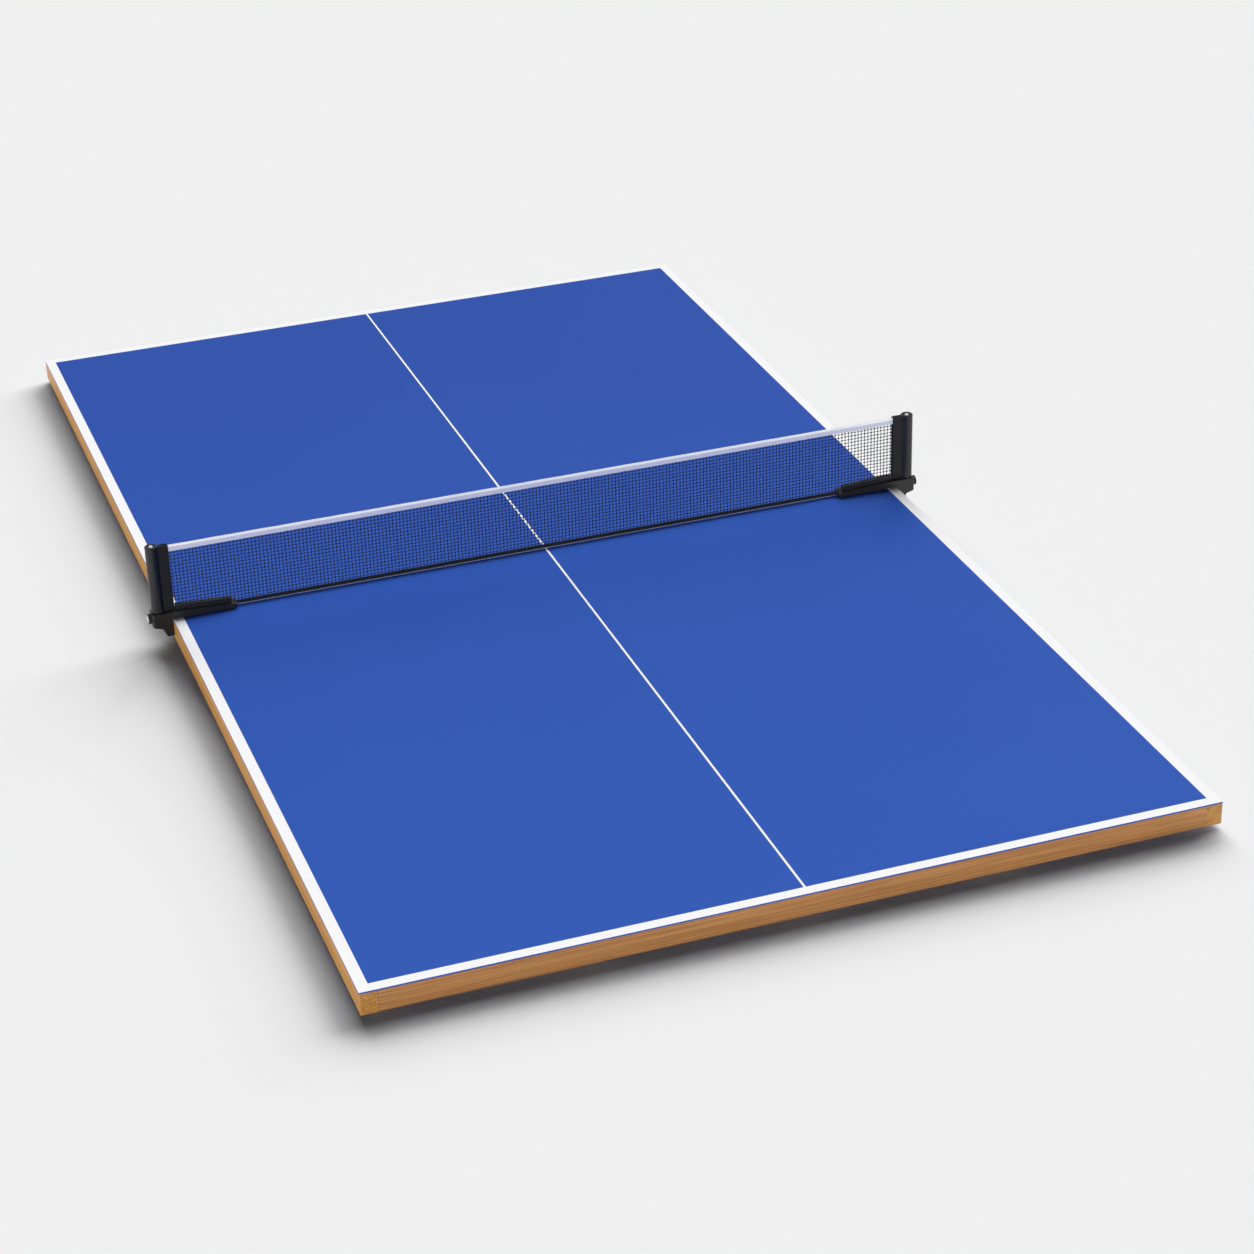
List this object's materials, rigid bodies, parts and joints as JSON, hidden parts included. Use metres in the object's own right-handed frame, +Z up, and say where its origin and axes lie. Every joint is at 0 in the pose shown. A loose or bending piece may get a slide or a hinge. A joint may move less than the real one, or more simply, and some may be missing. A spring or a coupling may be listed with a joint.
{
  "type": "ping pong table top",
  "caption": "Full-size table tennis top in two framed halves, with clamp-on net brackets, height-adjustable posts and a net.",
  "frame": {"origin": "floor level under the middle of the table, at the seam between the halves", "axes": "+X across the table to the right, +Y along the table to the far half, +Z up"},
  "size_m": [1.618, 2.74, 0.2085],
  "materials": {
    "blue_paint": "satin blue paint on hardboard",
    "white_line": "matt white line tape",
    "plywood": "raw plywood",
    "rail_wood": "clear-lacquered softwood",
    "end_rail_wood": "clear-lacquered softwood",
    "batten_wood": "raw softwood",
    "dowel_wood": "beech",
    "foot_rubber": "matt",
    "pad_rubber": "matt",
    "screw_steel": "zinc plated",
    "pin_steel": "ground",
    "plate_steel": "zinc plated",
    "brass": "turned",
    "bracket_black": "satin black powder coat",
    "sleeve_black": "satin black",
    "bar_black": "matt moulded black",
    "knob_black": "matt moulded black",
    "cap_steel": "polished",
    "rod_chrome": "polished",
    "rod_fibre": "pultruded rod",
    "tape_white": "woven tape",
    "hem_black": "woven tape",
    "mesh_black": "knotted nylon net",
    "cord_white": "braided cord"
  },
  "bodies": {
    "near_half": {"playing_surface_near": "blue_paint", "border_lines_near": "white_line", "centre_line_near": "white_line", "core_board_near": "plywood", "side_rail_right_near": "rail_wood", "side_rail_left_near": "rail_wood", "end_rail_near": "end_rail_wood", "battens_near": "batten_wood", "corner_dowels_near": "dowel_wood", "feet_near": "foot_rubber", "foot_screws_near": "screw_steel", "centre_rail_near": "batten_wood", "alignment_pins": "pin_steel", "bracket_left": "bracket_black", "bracket_right": "bracket_black", "arm_pad_left": "pad_rubber", "arm_pad_right": "pad_rubber"},
    "far_half": {"playing_surface_far": "blue_paint", "border_lines_far": "white_line", "centre_line_far": "white_line", "core_board_far": "plywood", "side_rail_right_far": "rail_wood", "side_rail_left_far": "rail_wood", "end_rail_far": "end_rail_wood", "battens_far": "batten_wood", "corner_dowels_far": "dowel_wood", "feet_far": "foot_rubber", "foot_screws_far": "screw_steel", "centre_rail_far": "batten_wood", "pin_bushes": "brass"},
    "net": {"net_tape": "tape_white", "net_cord": "cord_white", "net_hem": "hem_black", "net_mesh": "mesh_black", "net_rod_right": "rod_fibre", "net_rod_left": "rod_fibre"},
    "post_left": {"post_sleeve_left": "sleeve_black", "post_rod_left": "rod_chrome", "net_bar_left": "bar_black"},
    "lock_tip_left": {"lock_tip_left": "brass"},
    "lock_screw_left": {"lock_screw_left": "knob_black", "lock_cap_left": "cap_steel"},
    "clamp_plate_left": {"clamp_plate_left": "plate_steel"},
    "clamp_knob_left": {"clamp_knob_left": "knob_black"},
    "post_right": {"post_sleeve_right": "sleeve_black", "post_rod_right": "rod_chrome", "net_bar_right": "bar_black"},
    "lock_tip_right": {"lock_tip_right": "brass"},
    "lock_screw_right": {"lock_screw_right": "knob_black", "lock_cap_right": "cap_steel"},
    "clamp_plate_right": {"clamp_plate_right": "plate_steel"},
    "clamp_knob_right": {"clamp_knob_right": "knob_black"}
  },
  "joints": [
    {"name": "far_half_slide", "type": "slide", "parent": "near_half", "child": "far_half", "axis": [0, 1, 0], "range_m": [0, 0.05]},
    {"name": "post_left_height", "type": "slide", "parent": "near_half", "child": "post_left", "axis": [0, 0, 1], "range_m": [0, 0.01]},
    {"name": "lock_left_advance", "type": "slide", "parent": "near_half", "child": "lock_tip_left", "axis": [-1, 0, 0], "range_m": [0, 0.003]},
    {"name": "lock_left_turn", "type": "hinge", "parent": "lock_tip_left", "child": "lock_screw_left", "pos_m": [-0.8035, 0, 0.054], "axis": [-1, 0, 0], "range_deg": [0, 1365]},
    {"name": "clamp_left_drop", "type": "slide", "parent": "near_half", "child": "clamp_plate_left", "axis": [0, 0, -1], "range_m": [0, 0.004]},
    {"name": "clamp_left_turn", "type": "hinge", "parent": "clamp_plate_left", "child": "clamp_knob_left", "pos_m": [-0.6965, 0, 0.0115], "axis": [0, 0, -1], "range_deg": [0, 970]},
    {"name": "post_right_height", "type": "slide", "parent": "near_half", "child": "post_right", "axis": [0, 0, 1], "range_m": [0, 0.01]},
    {"name": "lock_right_advance", "type": "slide", "parent": "near_half", "child": "lock_tip_right", "axis": [1, 0, 0], "range_m": [0, 0.003]},
    {"name": "lock_right_turn", "type": "hinge", "parent": "lock_tip_right", "child": "lock_screw_right", "pos_m": [0.8035, 0, 0.054], "axis": [1, 0, 0], "range_deg": [0, 1365]},
    {"name": "clamp_right_drop", "type": "slide", "parent": "near_half", "child": "clamp_plate_right", "axis": [0, 0, -1], "range_m": [0, 0.004]},
    {"name": "clamp_right_turn", "type": "hinge", "parent": "clamp_plate_right", "child": "clamp_knob_right", "pos_m": [0.6965, 0, 0.0115], "axis": [0, 0, -1], "range_deg": [0, 970]},
    {"name": "net_lift", "type": "slide", "parent": "post_left", "child": "net", "axis": [0, 0, 1], "range_m": [0, 0.16]}
  ],
  "couplings": [
    {"joint": "lock_left_turn", "follows": "lock_left_advance", "rad_per_m": 7854},
    {"joint": "clamp_left_turn", "follows": "clamp_left_drop", "rad_per_m": 4188.8},
    {"joint": "lock_right_turn", "follows": "lock_right_advance", "rad_per_m": 7854},
    {"joint": "clamp_right_turn", "follows": "clamp_right_drop", "rad_per_m": 4188.8},
    {"joint": "post_right_height", "follows": "post_left_height", "ratio": 1}
  ]
}
